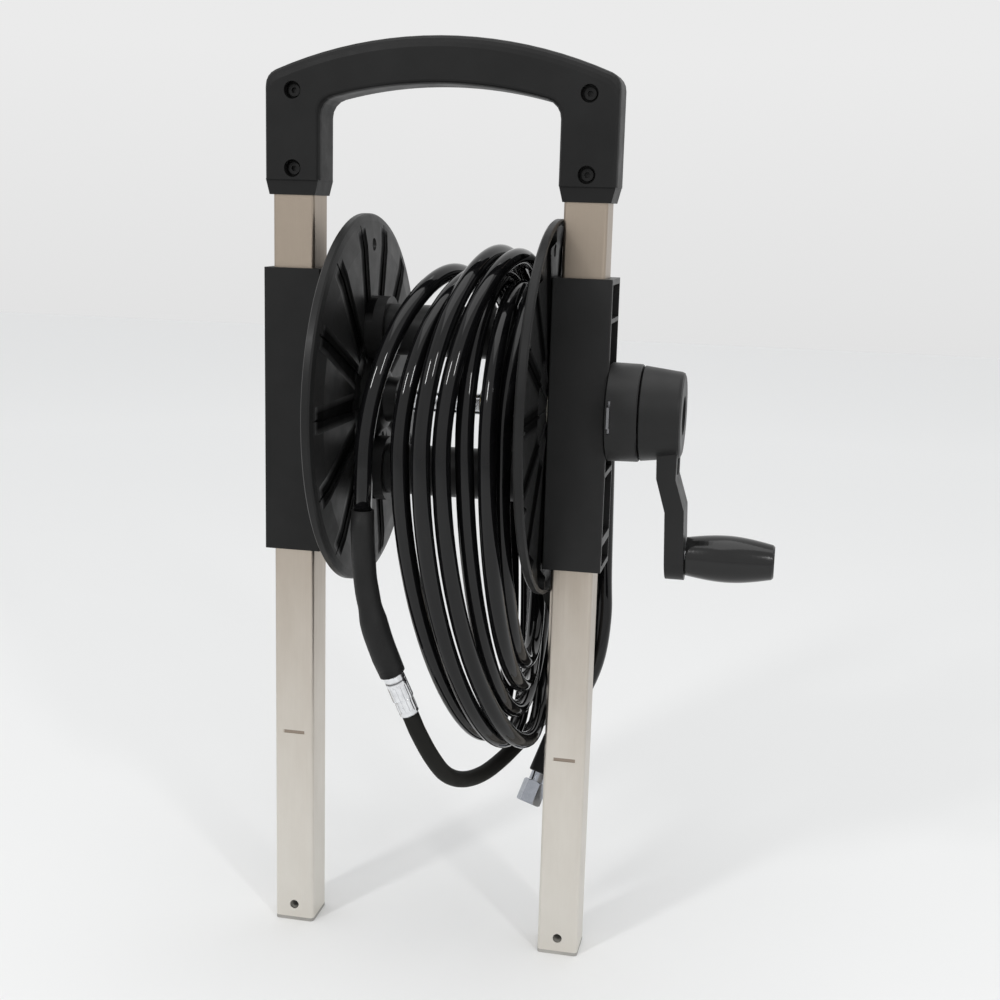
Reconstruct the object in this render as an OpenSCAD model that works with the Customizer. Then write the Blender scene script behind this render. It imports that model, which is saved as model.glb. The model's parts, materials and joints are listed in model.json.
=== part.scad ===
// Hose reel in an upright two-leg frame: drum, crank, wound pressure hose and carrying handle.
// Millimetres. X runs along the axle to the crank, Y to the back, Z up.
// The origin lies midway between the two foot holes; heights are counted from the floor.

/* [Legs] */
// Distance between the centre lines of the legs
leg_pitch = 240; // [236:0.5:250]
// Outside width of the square leg tube
tube_w = 35; // [33:0.5:36]
// Wall of the leg tube
tube_wall = 1.5; // [1:0.1:2.5]
// Outside corner radius of the leg tube
tube_r = 3; // [1:0.5:4]
// Thickness of the foot plug under the tube
plug_flange = 3; // [2:0.5:5]
// Length of the foot plug inside the tube
plug_len = 27; // [24:1:40]
// Diameter of the hole through each foot
foot_hole_d = 8; // [5:0.5:10]
// Height of the foot holes above the floor
foot_hole_h = 15; // [13:0.5:17]
// Height of the pressed mark on the front of each leg
mark_h = 179; // [120:1:240]
// Width of the pressed mark
mark_w = 20; // [10:1:26]

/* [Handle] */
// Height of the handle's crown above the floor
handle_h = 765; // [760:1:790]
// Front-to-back thickness of the handle
handle_t = 41; // [39:0.5:46]
// Height of the bar at its crown
bar_t = 37; // [32:0.5:42]
// Radius of the handle's top arc
top_r = 360; // [320:5:420]
// Outside width of the handle
handle_w = 288; // [285:0.5:294]
// Inside width between the handle's posts
grip_gap = 195; // [186:1:198]
// Height of the shoulder where the collar starts
shoulder_h = 652; // [648:0.5:656]
// Height of the collar under the shoulder
collar_t = 12; // [6:0.5:16]
// Inset of the collar from the shoulder
collar_in = 4; // [1:0.25:4.5]
// Rounding of the handle's long edges
edge_r = 9; // [3:0.5:10]
// Diameter of the handle screws
hscrew_d = 5; // [4:0.5:6]
// Height of the lower handle screws
hscrew_low_h = 661; // [658:0.5:668]
// Height of the upper handle screws
hscrew_high_h = 722; // [700:1:724]

/* [Brackets] */
// Width of the bearing bracket around the leg
bracket_w = 48.3; // [44:0.1:48.4]
// Front-to-back depth of the bracket
bracket_t = 48; // [46:0.5:54]
// How far the bracket's front stands proud of the tube
bracket_proud = 4; // [3:0.25:6]
// Height of the bracket's lower end
bracket_low_h = 344.5; // [320:1:350]
// Height of the bracket's upper end
bracket_high_h = 581.5; // [570:1:600]
// Depth of the pockets in the bracket's outer side
pocket_t = 4.8; // [3:0.1:4.9]
// Radius of the boss that carries the crank end of the axle
boss_r = 39.5; // [36:0.5:42]
// Distance of the boss end from the middle of the frame
boss_end = 169.5; // [160:0.5:172]

/* [Drum] */
// Height of the axle above the floor
axle_h = 475; // [474:0.5:476]
// Diameter of the steel axle tube
axle_d = 18; // [17:0.5:20]
// Wall of the axle tube
axle_wall = 3; // [2:0.25:4]
// Radius of the drum flanges
flange_r = 152; // [150:0.5:152.5]
// Width of the flange's rolled rim
rim_w = 7.5; // [6:0.25:8]
// Thickness of the flange disc
disc_t = 3.2; // [2.4:0.1:3.4]
// Inner edge of the left rim, left of the middle of the frame
left_rim = 59; // [56:0.5:62]
// Clearance between the right rim and the leg
rim_gap = 1.5; // [1.2:0.1:2]
// Number of wedge grooves in each flange
groove_n = 14; // [10:1:18]
// Distance of the two drum posts from the axle
post_pitch = 58.5; // [56:0.5:60]
// Diameter of the drum posts
post_d = 42; // [38:0.5:43]
// Outside diameter of the sockets on the left flange
socket_d = 54; // [50:0.5:56]
// Depth of the sockets
socket_len = 18; // [14:0.5:24]
// Diameter of the hose hole near the flange's rim
hose_hole_d = 10.5; // [8:0.5:14]

/* [Crank] */
// Radius of the crank hub where it meets the boss
hub_r = 38.5; // [36:0.5:40]
// Radius of the crank hub at its outer face
hub_end_r = 34.5; // [32:0.5:36]
// Length of the crank hub
hub_len = 33; // [30:0.5:36]
// Diameter of the recess for the crank nut
recess_d = 31.5; // [29:0.5:34]
// Distance from the axle to the crank grip
crank_r = 115.5; // [105:0.5:125]
// Width of the crank arm
arm_w = 39.5; // [36:0.5:42]
// Thickness of the crank arm
arm_t = 14.5; // [12:0.5:16]
// Largest diameter of the grip
grip_d = 38.4; // [34:0.2:42]
// Length of the grip
grip_len = 71; // [62:0.5:80]
// Diameter of the grip's pin
pin_d = 10; // [8:0.5:12]

/* [Hose] */
// Diameter of the wound pressure hose
hose_d = 14.3; // [12:0.1:14.4]
// Diameter of the short lead hose
lead_d = 13.6; // [11:0.2:14]

/* [Hidden] */
$fn = 64;
fit = 0.05;        // radial running clearance of a shaft in its bush
gap = 0.2;         // clearance of a piece seated in another
seat = 0.3;        // gap of a piece that rests beside another body

leg_x = leg_pitch / 2;
tube_in = tube_w - 2 * tube_wall;
tube_top_h = handle_h - 30;

// handle
handle_half = handle_w / 2;
gap_half = grip_gap / 2;
side_edge = 3.5;
corner_out_r = 13;
corner_in_r = 15;
crown_in_h = handle_h - bar_t;
arch_r = top_r - 14;
boss_d = 16.4;
hrecess_d = 14;
hrecess_t = 9;
hhead_d = 9.5;
hhead_t = 4;
hnut_w = 8;
hnut_t = 4;

// brackets and bearings
bracket_half = bracket_w / 2;
bracket_in = leg_x - bracket_half;
bracket_out = leg_x + bracket_half;
bracket_y0 = -tube_w / 2 - bracket_proud;
bracket_y1 = bracket_y0 + bracket_t;
bush_d = axle_d + 6;
bush_t = 1.5;
bush_flange_d = axle_d + 16;
clip_x = bracket_out + 2.05;
clip_t = 2;
clip_w = 26;
clip_tab_w = 17;
groove_d = axle_d - 3;
left_end = -leg_x - tube_w / 2;

// drum
right_rim = leg_x - tube_w / 2 - rim_gap - rim_w;
dish = 2.7;
disc_face = dish - disc_t;
groove_t = 1.2;
hub_boss_len = 24;
post_wall = 3;
post_web = 14;
drum_screw_d = 6;
hose_hole_r = 127;
left_rib = rim_w - 1;
right_rib = bracket_in - 0.5 - right_rim;

// rotary inlet
housing_d = 46;
housing_len = 24.5;
housing_x = -bracket_in + bush_t + gap;
channel_x = housing_x + housing_len / 2;
inlet_d = 16.6;
elbow_x = 45;
elbow_w = 14;
elbow_d = 30;
spigot_dir = [12, 16, -23];
spigot_len = 24;

// crank
hub_x = boss_end + 1;
hub_out = hub_x + hub_len;
square_w = 13;
stud_d = 12;
square_len = 10;
nut_w = 19;
nut_t = 9;
washer_t = 2;
recess_t = 21;
grip_x = 211.5;
grip_h = axle_h - crank_r;
pin_head_d = pin_d + 6;
pin_head_t = 5;
cap_t = 3;

// ---- helpers ----

// Children drawn in (height, Y) turn about a line along X at the given height
module on_axle(x = 0, h = axle_h, y = 0) {
    translate([x, y, h - foot_hole_h]) rotate([0, 90, 0]) children();
}

// Children are placed with their heights counted from the floor
module from_floor() {
    translate([0, 0, -foot_hole_h]) children();
}

module ring_x(x0, x1, r_out, r_in, h = axle_h, y = 0) {
    on_axle(x0, h, y) difference() {
        cylinder(r = r_out, h = x1 - x0);
        translate([0, 0, -1]) cylinder(r = r_in, h = x1 - x0 + 2);
    }
}

// Square with rounded corners, centred
module round_square(w, d, r) {
    square([w - 2 * r, d], center = true);
    square([w, d - 2 * r], center = true);
    for (sx = [-1, 1], sy = [-1, 1])
        translate([sx * (w / 2 - r), sy * (d / 2 - r)]) circle(r = r, $fn = 32);
}

// Hole along Y at a height above the floor
module hole_y(x, h, d, len = 200) {
    translate([x, len / 2, h]) rotate([90, 0, 0]) cylinder(d = d, h = len);
}

function unit(v) = v / norm(v);
function steps(n) = [for (i = [0:n]) i];

// One value of a smooth curve through p1 and p2
function spline(p0, p1, p2, p3, t) =
    0.5 * (2 * p1 + (p2 - p0) * t + (2 * p0 - 5 * p1 + 4 * p2 - p3) * t * t
        + (3 * p1 - p0 - 3 * p2 + p3) * t * t * t);

// Smooth path through points: m pieces in every stretch but the straight first and last
function smooth_path(p, m) = let (n = len(p)) concat(
    [p[0]],
    [for (i = [1:n - 3], k = [0:m - 1]) spline(p[i - 1], p[i], p[i + 1], p[i + 2], k / m)],
    [p[n - 2], p[n - 1]]);

function tangent(c, i) = let (n = len(c))
    unit(i == 0 ? c[1] - c[0] : i == n - 1 ? c[n - 1] - c[n - 2]
        : unit(c[i + 1] - c[i]) + unit(c[i] - c[i - 1]));

// Points of one ring of a tube, round the path's direction t
function ring_points(c, t, r, sides) = let (
        a = unit([1, 0, 0] - t[0] * t),
        b = cross(t, a))
    [for (k = [0:sides - 1]) c + r * (cos(360 * k / sides) * a + sin(360 * k / sides) * b)];

// Tube along path c, with one radius for each point
module tube(c, r, sides) {
    n = len(c);
    pts = [for (i = [0:n - 1]) each ring_points(c[i], tangent(c, i), r[i], sides)];
    walls = [for (i = [0:n - 2], k = [0:sides - 1]) let (
            p = i * sides + k,
            q = i * sides + (k + 1) % sides)
        each [[p, q + sides, q], [p, p + sides, q + sides]]];
    ends = [[for (k = [0:sides - 1]) k], [for (k = [0:sides - 1]) n * sides - 1 - k]];
    polyhedron(points = pts, faces = concat(walls, ends), convexity = 10);
}

function same(r, n) = [for (i = [1:n]) r];

// ---- frame ----

module leg(side) {
    color("silver") from_floor() difference() {
        translate([side * leg_x, 0, plug_flange]) linear_extrude(tube_top_h - plug_flange)
            difference() {
                round_square(tube_w, tube_w, tube_r);
                round_square(tube_in, tube_in, max(tube_r - tube_wall, 0.4));
            }
        hole_y(side * leg_x, foot_hole_h, foot_hole_d);
        for (h = [hscrew_low_h, hscrew_high_h]) hole_y(side * leg_x, h, boss_d + 2 * gap);
        on_axle_hole(side);
        for (h = bracket_screw_h) translate([side * leg_x, 0, h]) rotate([-90, 0, 0])
            cylinder(d = 4, h = tube_w);
        translate([side * leg_x, -tube_w / 2, mark_h])
            cube([mark_w, 0.8, 3], center = true);
    }
}

// Hole through a leg or bracket for the axle bush, inside from_floor()
module on_axle_hole(side) {
    translate([side * leg_x - 100, 0, axle_h]) rotate([0, 90, 0])
        cylinder(d = bush_d + gap, h = 200);
}

module left_leg() { leg(-1); }
module right_leg() { leg(1); }

module foot_plugs() {
    color([0.12, 0.12, 0.12]) from_floor() for (side = [-1, 1]) translate([side * leg_x, 0, 0])
        difference() {
            union() {
                linear_extrude(plug_flange) round_square(tube_w, tube_w, tube_r);
                linear_extrude(plug_flange + plug_len)
                    round_square(tube_in - gap, tube_in - gap, 1.5);
            }
            translate([0, 0, plug_flange + 14]) linear_extrude(plug_len)
                round_square(tube_in - 6, tube_in - 6, 1.5);
            hole_y(0, foot_hole_h, foot_hole_d);
        }
}

// ---- handle ----

// Right half of an arch: up the side x = w, round the corner rc and along the arc r to the crown
function half_arch(w, r, crown, rc, h0) = let (
        hc = crown - r,
        cx = w - rc,
        cz = hc + sqrt(pow(r - rc, 2) - pow(cx, 2)),
        a1 = atan2(cz - hc, cx))
    concat([[w, h0]],
        [for (i = steps(4)) [cx + rc * cos(a1 * i / 4), cz + rc * sin(a1 * i / 4)]],
        [for (i = [1:9]) let (a = a1 + (90 - a1) * i / 10) [r * cos(a), hc + r * sin(a)]]);

function arch(w, r, crown, rc, h0) = let (
        p = half_arch(w, r, crown, rc, h0),
        n = len(p))
    concat(p, [[0, crown]], [for (i = [n - 1:-1:0]) [-p[i][0], p[i][1]]]);

// One ring of the handle shell: the outer arch, then the inner one, both drawn in by the edge rounding
function shell_ring(side_in, top_in, y) = let (
        outer = arch(handle_half - side_in, top_r - top_in, handle_h - top_in,
            corner_out_r, shoulder_h),
        inner = arch(gap_half + side_in, arch_r + side_in, crown_in_h + side_in,
            corner_in_r, shoulder_h))
    [for (p = concat(outer, inner)) [p[0], y, p[1]]];

module shell_body() {
    half = handle_t / 2;
    deep = 0.75 * edge_r;
    rings = concat([shell_ring(0, 0, 0)],
        [for (i = steps(4)) let (a = 22.5 * i)
            shell_ring(side_edge * (1 - cos(a)), edge_r * (1 - cos(a)),
                -(half - deep + deep * sin(a)))]);
    m = len(rings[0]) / 2;
    n = 2 * m;
    last = (len(rings) - 1) * n;
    walls = [for (k = [0:len(rings) - 2], i = [0:m - 2]) let (p = k * n + i)
        each [[p, p + n, p + 1 + n], [p, p + 1 + n, p + 1],
            [p + m, p + m + 1 + n, p + m + n], [p + m, p + m + 1, p + m + 1 + n]]];
    feet = [for (k = [0:len(rings) - 2], f = [0, m - 1]) let (p = k * n + f)
        each f == 0 ? [[p, p + m, p + m + n], [p, p + m + n, p + n]]
            : [[p, p + m + n, p + m], [p, p + n, p + m + n]]];
    caps = [for (i = [0:m - 2])
        each [[i, i + 1, i + m + 1], [i, i + m + 1, i + m],
            [last + i, last + i + m + 1, last + i + 1],
            [last + i, last + i + m, last + i + m + 1]]];
    polyhedron(points = [for (r = rings) each r], faces = concat(walls, feet, caps),
        convexity = 6);
}

module collar(side) {
    half = handle_t / 2;
    mid = side * (handle_half + gap_half) / 2;
    width = handle_half - gap_half;
    hull() {
        translate([mid - width / 2 + 1, 1.5 - half, shoulder_h])
            cube([width - 2, half - 1.5, 0.5]);
        translate([mid - width / 2 + collar_in, 1.8 - half, shoulder_h - collar_t])
            cube([width - 2 * collar_in, half - 1.8, 0.5]);
    }
}

// Front half of the handle, before the screw recess or nut pocket is cut
module handle_half_shell() {
    difference() {
        union() {
            difference() {
                union() {
                    shell_body();
                    for (side = [-1, 1]) collar(side);
                }
                for (side = [-1, 1]) translate([side * leg_x, 0, 0])
                    linear_extrude(tube_top_h) round_square(tube_w + gap, tube_w + gap, tube_r);
            }
            for (side = [-1, 1], h = [hscrew_low_h, hscrew_high_h])
                translate([side * leg_x, 0, h]) rotate([90, 0, 0])
                    cylinder(d = boss_d, h = handle_t / 2 - 1);
        }
        for (side = [-1, 1], h = [hscrew_low_h, hscrew_high_h])
            hole_y(side * leg_x, h, hscrew_d + gap);
    }
}

module handle_front_shell() {
    color([0.13, 0.13, 0.13]) from_floor() difference() {
        handle_half_shell();
        for (side = [-1, 1], h = [hscrew_low_h, hscrew_high_h])
            translate([side * leg_x, hrecess_t - handle_t / 2, h]) rotate([90, 0, 0])
                cylinder(d = hrecess_d, h = 20);
    }
}

module handle_rear_shell() {
    color([0.13, 0.13, 0.13]) from_floor() difference() {
        mirror([0, 1, 0]) handle_half_shell();
        for (side = [-1, 1], h = [hscrew_low_h, hscrew_high_h])
            translate([side * leg_x, handle_t / 2 - hnut_t - 2, h]) rotate([-90, 0, 0])
                cylinder(d = (hnut_w + gap) / cos(30), h = 20, $fn = 6);
    }
}

module handle_screws() {
    color([0.3, 0.3, 0.3]) from_floor() for (side = [-1, 1], h = [hscrew_low_h, hscrew_high_h])
        translate([side * leg_x, hrecess_t - handle_t / 2, h]) rotate([-90, 0, 0]) difference() {
            union() {
                translate([0, 0, -hhead_t]) cylinder(d = hhead_d, h = hhead_t);
                cylinder(d = hscrew_d, h = handle_t - hrecess_t - 2);
            }
            translate([0, 0, -hhead_t - 1]) cylinder(d = 5, h = 3.5, $fn = 6);
        }
}

module handle_nuts() {
    color([0.6, 0.6, 0.6]) from_floor() for (side = [-1, 1], h = [hscrew_low_h, hscrew_high_h])
        translate([side * leg_x, handle_t / 2 - hnut_t - 2, h]) rotate([-90, 0, 0]) difference() {
            cylinder(d = hnut_w / cos(30), h = hnut_t, $fn = 6);
            translate([0, 0, -1]) cylinder(d = hscrew_d, h = hnut_t + 2);
        }
}

// ---- bearing brackets ----

bracket_screw_h = [bracket_low_h + 30, bracket_high_h - 30];

// Low and high edges of the pockets in a bracket's outer side
pockets = [
    [bracket_low_h + 4.5, bracket_low_h + 21.5],
    [bracket_low_h + 28.5, axle_h - 52],
    [axle_h + 35, axle_h + 72],
    [axle_h + 75.5, bracket_high_h - 4.5]
];

module bracket_block() {
    mid_y = (bracket_y0 + bracket_y1) / 2;
    difference() {
        translate([leg_x, mid_y, bracket_low_h])
            linear_extrude(bracket_high_h - bracket_low_h)
                round_square(bracket_w, bracket_t, 1.2);
        translate([leg_x, 0, 0]) linear_extrude(2 * handle_h)
            round_square(tube_w + gap, tube_w + gap, tube_r);
        for (p = pockets) translate([bracket_out - pocket_t, bracket_y0 + 4, p[0]])
            cube([20, bracket_t - 7, p[1] - p[0]]);
        translate([bracket_out - pocket_t, bracket_y0 + 4, axle_h - 48])
            cube([20, bracket_t - 7, 83]);
        for (h = bracket_screw_h) translate([leg_x, 0, h]) rotate([-90, 0, 0]) {
            cylinder(d = 4.4, h = 60);
            translate([0, 0, bracket_y1 - 3]) cylinder(d = 8.4, h = 20);
        }
    }
    // wall round the axle bush, from the tube to the outer side
    translate([leg_x + tube_w / 2 + gap / 2, 0, axle_h]) rotate([0, 90, 0])
        cylinder(d = bush_d + 12, h = bracket_half - tube_w / 2 - gap / 2);
}

module left_bracket() {
    color([0.2, 0.2, 0.2]) from_floor() mirror([1, 0, 0]) difference() {
        bracket_block();
        translate([bracket_in - 1, 0, axle_h]) rotate([0, 90, 0])
            cylinder(d = bush_d + gap, h = bracket_w - 2);
    }
}

module right_bracket() {
    color([0.2, 0.2, 0.2]) from_floor() difference() {
        union() {
            bracket_block();
            translate([bracket_out - 1, 0, axle_h]) rotate([0, 90, 0]) rotate_extrude($fn = 96)
                polygon([[0, 0], [boss_r - 1, 0], [boss_r + 0.5, 1.5],
                    [boss_r, boss_end - bracket_out], [boss_r - 1, boss_end - bracket_out + 1],
                    [0, boss_end - bracket_out + 1]]);
        }
        on_axle_hole(1);
        translate([clip_x - gap, -boss_r - 5, axle_h - clip_w / 2 - gap])
            cube([clip_t + 2 * gap, boss_r + 5 + clip_w / 2, clip_w + 2 * gap]);
    }
}

module bracket_screws() {
    color([0.5, 0.5, 0.5]) from_floor() for (side = [-1, 1], h = bracket_screw_h)
        translate([side * leg_x, bracket_y1 - 3, h]) rotate([90, 0, 0]) difference() {
            union() {
                translate([0, 0, -2.6]) cylinder(d = 8, h = 2.6);
                cylinder(d = 3.9, h = 12);
            }
            translate([0, 0, -3.6]) cylinder(d = 3.5, h = 2.6, $fn = 6);
        }
}

// Flanged plain bush, its flange towards the drum
module bush(len) {
    rotate_extrude($fn = 64) difference() {
        union() {
            square([bush_flange_d / 2, bush_t]);
            square([bush_d / 2, len]);
        }
        translate([0, -1]) square([axle_d / 2 + fit, len + 2]);
    }
}

module left_bush() {
    color([0.85, 0.84, 0.78]) on_axle(bush_t - bracket_in) mirror([0, 0, 1])
        bush(bracket_w - 4);
}

module right_bush() {
    color([0.85, 0.84, 0.78]) on_axle(bracket_in - bush_t)
        bush(clip_x - 0.5 - bracket_in + bush_t);
}

// Flat fork that holds the axle endways in the right bracket
module retaining_clip() {
    color([0.8, 0.8, 0.82]) from_floor() translate([clip_x, 0, axle_h]) rotate([90, 0, 90])
        linear_extrude(clip_t) difference() {
            union() {
                translate([-boss_r + 4, -clip_w / 2]) square([boss_r - 4 + 10, clip_w]);
                translate([-boss_r - 2, -clip_tab_w / 2]) square([boss_r, clip_tab_w]);
            }
            circle(d = groove_d + 0.3);
            translate([0, -groove_d / 2 - 0.15]) square([40, groove_d + 0.3]);
        }
}

// ---- axle and rotary inlet ----

module axle() {
    color("silver") on_axle(left_end) difference() {
        union() {
            difference() {
                cylinder(d = axle_d, h = hub_x - left_end);
                translate([0, 0, clip_x - gap / 2 - left_end]) difference() {
                    cylinder(d = axle_d + 2, h = clip_t + gap);
                    cylinder(d = groove_d, h = clip_t + gap);
                }
            }
            translate([-square_w / 2, -square_w / 2, hub_x - left_end - 1])
                cube([square_w, square_w, square_len + 1]);
            cylinder(d = stud_d, h = hub_out - recess_t + washer_t + nut_t + 2 - left_end);
        }
        translate([0, 0, -1]) cylinder(d = axle_d - 2 * axle_wall, h = elbow_x + 8 - left_end);
        for (x = [channel_x, elbow_x]) translate([0, 0, x - left_end])
            rotate([0, 90, 0]) cylinder(d = 6, h = 2 * axle_d, center = true);
    }
}

// Screw plug that closes the bore of the axle at its free end
module axle_plug() {
    color("silver") on_axle(left_end - 3) difference() {
        union() {
            cylinder(d = axle_d, h = 3);
            cylinder(d = axle_d - 2 * axle_wall - 0.02, h = 15);
        }
        translate([0, 0, -1]) cylinder(d = 7, h = 6, $fn = 6);
    }
}

module swivel_housing() {
    color([0.75, 0.62, 0.35]) difference() {
        on_axle(housing_x) difference() {
            rotate_extrude($fn = 72) polygon([[0, 0], [housing_d / 2 - 1, 0], [housing_d / 2, 1],
                [housing_d / 2, housing_len - 1], [housing_d / 2 - 1, housing_len],
                [0, housing_len]]);
            translate([0, 0, -1]) cylinder(d = axle_d + 2 * fit, h = housing_len + 2);
            translate([0, 0, housing_len / 2 - 3]) cylinder(d = axle_d + 6, h = 6);
            for (z = seal_z) translate([0, 0, z]) cylinder(d = axle_d + 5, h = 3.2);
        }
        translate([channel_x, 0, axle_h - foot_hole_h]) rotate([-90, 0, 0]) {
            cylinder(d = 9, h = housing_d);
            translate([0, 0, housing_d / 2 - 9]) cylinder(d = inlet_d - 2, h = 20);
        }
    }
}

seal_z = [3.5, housing_len - 6.7];

module swivel_seals() {
    color([0.1, 0.1, 0.1]) on_axle(housing_x) for (z = seal_z) translate([0, 0, z + 0.1])
        rotate_extrude($fn = 64) translate([axle_d / 2 + fit, 0])
            square([2.4, 3]);
}

// Threaded connector of the rotary inlet, pointing to the back
module inlet_nipple() {
    color("silver") translate([channel_x, housing_d / 2, axle_h - foot_hole_h])
        rotate([-90, 0, 0]) difference() {
            union() {
                translate([0, 0, -8.8]) cylinder(d = inlet_d - 2.04, h = 9);
                cylinder(d = 22 / cos(30), h = 7, $fn = 6);
                cylinder(d = inlet_d, h = 24);
            }
            translate([0, 0, -10]) cylinder(d = 8, h = 40);
        }
}

// ---- drum ----

groove_step = 360 / groove_n;

// Flange drawn along Z: its inner side faces up and the rim's inner edge lies at z = 0
module flange(rib_t, pad) {
    r = flange_r;
    bore = axle_d / 2;
    difference() {
        rotate_extrude($fn = 120) polygon([[bore, dish], [r - 24, dish], [r - 6, 0.8],
            [r - 3, 0], [r - 1.2, -0.6], [r, -2], [r, 1 - rim_w], [r - 1.2, -rim_w],
            [r - 3.2, -rim_w], [r - 4.5, 0.2 - disc_t], [r - 24, disc_face], [24, disc_face],
            [22, disc_face - pad], [bore, disc_face - pad]]);
        intersection() {
            rotate_extrude($fn = 120) polygon([[36, dish + 1], [r - 24, dish + 1],
                [r - 5, 1.6], [r - 5, 0.7 - groove_t], [r - 24, dish - groove_t],
                [36, dish - groove_t]]);
            for (i = [0:groove_n - 1]) rotate([0, 0, groove_step * (i + 0.5)])
                translate([0, 0, -10]) linear_extrude(30)
                    polygon([[34, -5], [r - 6, -0.8], [r - 6, 0.8], [34, 5]]);
        }
        translate([-hose_hole_r, 0, -20]) cylinder(d = hose_hole_d, h = 40);
    }
    for (i = [0:groove_n - 1]) rotate([0, 0, groove_step * (i + 0.5)]) rotate([90, 0, 0])
        translate([0, 0, -1.1]) linear_extrude(2.2) polygon([[22, disc_face + 1],
            [r - 24, disc_face + 1], [r - 4, -1], [r - 4, 0.5 - rim_w], [r - 14, 0.5 - rim_w],
            [r - 20, -rib_t], [22, -rib_t]]);
}

module hub_boss(len) {
    rotate_extrude($fn = 72) polygon([[axle_d / 2, dish - 1], [37, dish - 1], [34, dish + 2],
        [24, dish + len / 2], [19, dish + len / 2 + 2], [17.5, dish + len], [axle_d / 2, dish + len]]);
}

module left_flange() {
    color([0.13, 0.13, 0.13]) on_axle(-left_rim) difference() {
        union() {
            flange(left_rib, housing_gap);
            hub_boss(hub_boss_len);
            for (s = [-1, 1]) translate([s * post_pitch, 0, disc_face + 1])
                cylinder(d = socket_d, h = socket_len - disc_face - 1);
        }
        for (s = [-1, 1]) translate([s * post_pitch, 0, 0]) {
            translate([0, 0, dish]) cylinder(d = post_d + gap, h = socket_len);
            translate([0, 0, -20]) cylinder(d = drum_screw_d + 0.4, h = 40);
            translate([0, 0, disc_face - 20]) cylinder(d = 13, h = 20);
        }
        translate([0, 0, -20]) cylinder(d = axle_d, h = 80);
    }
}

// Reach of the left flange's hub towards the rotary inlet
housing_gap = -left_rim + disc_face - (housing_x + housing_len) - seat;

post_len = right_rim + left_rim - 2 * dish;

module right_flange() {
    color([0.13, 0.13, 0.13]) on_axle(right_rim) mirror([0, 0, 1]) difference() {
        union() {
            flange(right_rib, bracket_in - bush_t - seat - right_rim + disc_face);
            hub_boss(hub_boss_len * 0.6);
            for (s = [-1, 1]) translate([s * post_pitch, 0, dish - 1])
                cylinder(d = post_d, h = post_len + 1);
        }
        for (s = [-1, 1]) translate([s * post_pitch, 0, 0]) {
            translate([0, 0, -20]) cylinder(d = post_d - 2 * post_wall, h = post_len + 23 - post_web);
            translate([0, 0, -20]) cylinder(d = drum_screw_d, h = 400);
        }
        translate([0, 0, -20]) cylinder(d = axle_d, h = 80);
    }
}

module drum_screws() {
    color([0.5, 0.5, 0.5]) on_axle(-left_rim) for (s = [-1, 1])
        translate([s * post_pitch, 0, disc_face]) difference() {
            union() {
                translate([0, 0, -4]) cylinder(d = 10, h = 4);
                cylinder(d = drum_screw_d, h = dish - disc_face + post_web - 2);
            }
            translate([0, 0, -5]) cylinder(d = 5, h = 3.5, $fn = 6);
        }
}

// Banjo ring on the axle with the spigot of the lead hose
module outlet_elbow() {
    color("silver") difference() {
        union() {
            on_axle(elbow_x - elbow_w / 2) rotate_extrude($fn = 64)
                polygon([[0, 0], [elbow_d / 2 - 1, 0], [elbow_d / 2, 1],
                    [elbow_d / 2, elbow_w - 1], [elbow_d / 2 - 1, elbow_w], [0, elbow_w]]);
            along(spigot_dir) cylinder(d = lead_d - 1.6, h = spigot_len);
            along(spigot_dir) translate([0, 0, elbow_d / 2 - 1])
                cylinder(d = 14 / cos(30), h = 5, $fn = 6);
        }
        on_axle(elbow_x - elbow_w) cylinder(d = axle_d, h = 2 * elbow_w);
        along(spigot_dir) translate([0, 0, axle_d / 2 - 2]) cylinder(d = 6, h = spigot_len);
    }
}

// Children drawn along Z start at the elbow's middle and run along direction d
module along(d) {
    translate([elbow_x, 0, axle_h - foot_hole_h])
        rotate([0, acos(d[2] / norm(d)), atan2(d[1], d[0])]) children();
}

// ---- crank ----

arm_out = hub_x + hub_len - 2.4;

// Side view of the arm, in (X, height): from the hub down to the grip with one set-out bend
module arm_side() {
    k = arm_t;
    polygon([[arm_out - k - 2, axle_h - 20], [arm_out - k - 1, grip_h + 66],
        [arm_out - k + 7, grip_h + 39], [arm_out - k + 9.5, grip_h - 30],
        [grip_x - 0.6, grip_h - 30], [grip_x - 0.6, grip_h - 10], [grip_x - 2.5, grip_h + 41],
        [arm_out, grip_h + 66], [arm_out, axle_h - 20]]);
}

module crank_arm() {
    h0 = grip_h;
    color([0.17, 0.17, 0.17]) difference() {
        union() {
            on_axle(hub_x) rotate_extrude($fn = 96) polygon([[0, 0], [hub_r - 0.8, 0],
                [hub_r, 0.8], [hub_end_r + 0.4, hub_len - 3], [hub_end_r - 0.5, hub_len - 1],
                [hub_end_r - 2.8, hub_len], [0, hub_len]]);
            from_floor() intersection() {
                translate([0, 50, 0]) rotate([90, 0, 0]) linear_extrude(100) arm_side();
                translate([hub_x, 0, 0]) rotate([90, 0, 90]) linear_extrude(80) {
                    translate([-arm_w / 2, h0]) square([arm_w, crank_r]);
                    translate([0, h0]) circle(d = arm_w, $fn = 72);
                }
            }
            from_floor() for (i = [-1:1])
                translate([arm_out - 1, i * 4.5 - 0.7, grip_h + 68]) cube([1.8, 1.4, 13]);
        }
        on_axle(hub_out - recess_t) cylinder(d = recess_d, h = 50);
        on_axle(hub_x - 1) cylinder(d = stud_d + 0.2, h = 60);
        on_axle(hub_x - 1) translate([-(square_w + gap) / 2, -(square_w + gap) / 2, 0])
            cube([square_w + gap, square_w + gap, square_len + 1.2]);
        on_axle(hub_x, grip_h) cylinder(d = pin_d, h = 80);
    }
}

module crank_washer() {
    color("silver") ring_x(hub_out - recess_t, hub_out - recess_t + washer_t, 12, stud_d / 2 + 0.1);
}

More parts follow.
